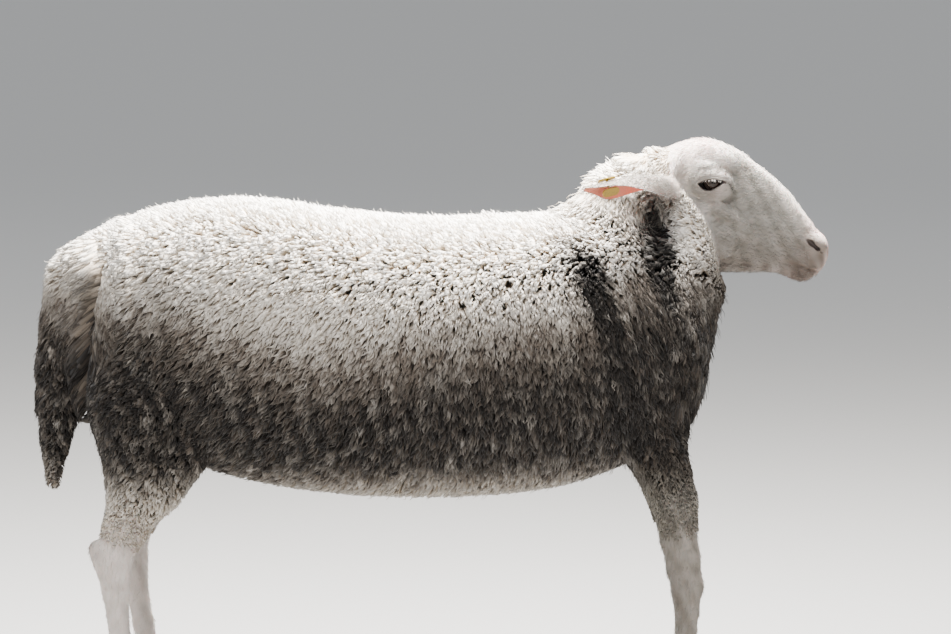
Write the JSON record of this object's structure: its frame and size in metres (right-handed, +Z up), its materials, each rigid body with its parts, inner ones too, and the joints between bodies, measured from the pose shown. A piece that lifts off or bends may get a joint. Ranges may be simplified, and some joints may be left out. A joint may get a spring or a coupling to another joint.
{
  "type": "sheep",
  "caption": "Life-size still model of a polled, long-tailed white ewe in half-grown fleece, standing square with the head held ahead and a plain tag in the right ear.",
  "frame": {"origin": "on the ground, below the middle of the animal's length and on its middle plane", "axes": "+Z up, +X towards the muzzle, +Y towards the animal's left"},
  "size_m": [1.1267, 0.4304, 0.8642],
  "materials": {
    "fleece": "cream wool, brown at depth, matt",
    "hair": "short white hair over pinkish skin, matt",
    "eye": "dark, wet gloss",
    "horn": "grey-brown horn, satin",
    "tag": "yellow, satin"
  },
  "bodies": {
    "root": {"trunk": "fleece", "neck": "fleece", "tail": "fleece", "head": "hair", "ear_right": "hair", "ear_left": "hair", "eye_right": "eye", "eye_left": "eye", "ear_tag_top": "tag", "ear_tag_bottom": "tag", "leg_front_left": "hair", "hoof_front_left_outer": "horn", "dewclaw_front_left_outer": "horn", "hoof_front_left_inner": "horn", "dewclaw_front_left_inner": "horn", "leg_hind_left": "hair", "hoof_hind_left_outer": "horn", "dewclaw_hind_left_outer": "horn", "hoof_hind_left_inner": "horn", "dewclaw_hind_left_inner": "horn", "leg_front_right": "hair", "hoof_front_right_outer": "horn", "dewclaw_front_right_outer": "horn", "hoof_front_right_inner": "horn", "dewclaw_front_right_inner": "horn", "leg_hind_right": "hair", "hoof_hind_right_outer": "horn", "dewclaw_hind_right_outer": "horn", "hoof_hind_right_inner": "horn", "dewclaw_hind_right_inner": "horn"}
  },
  "joints": []
}
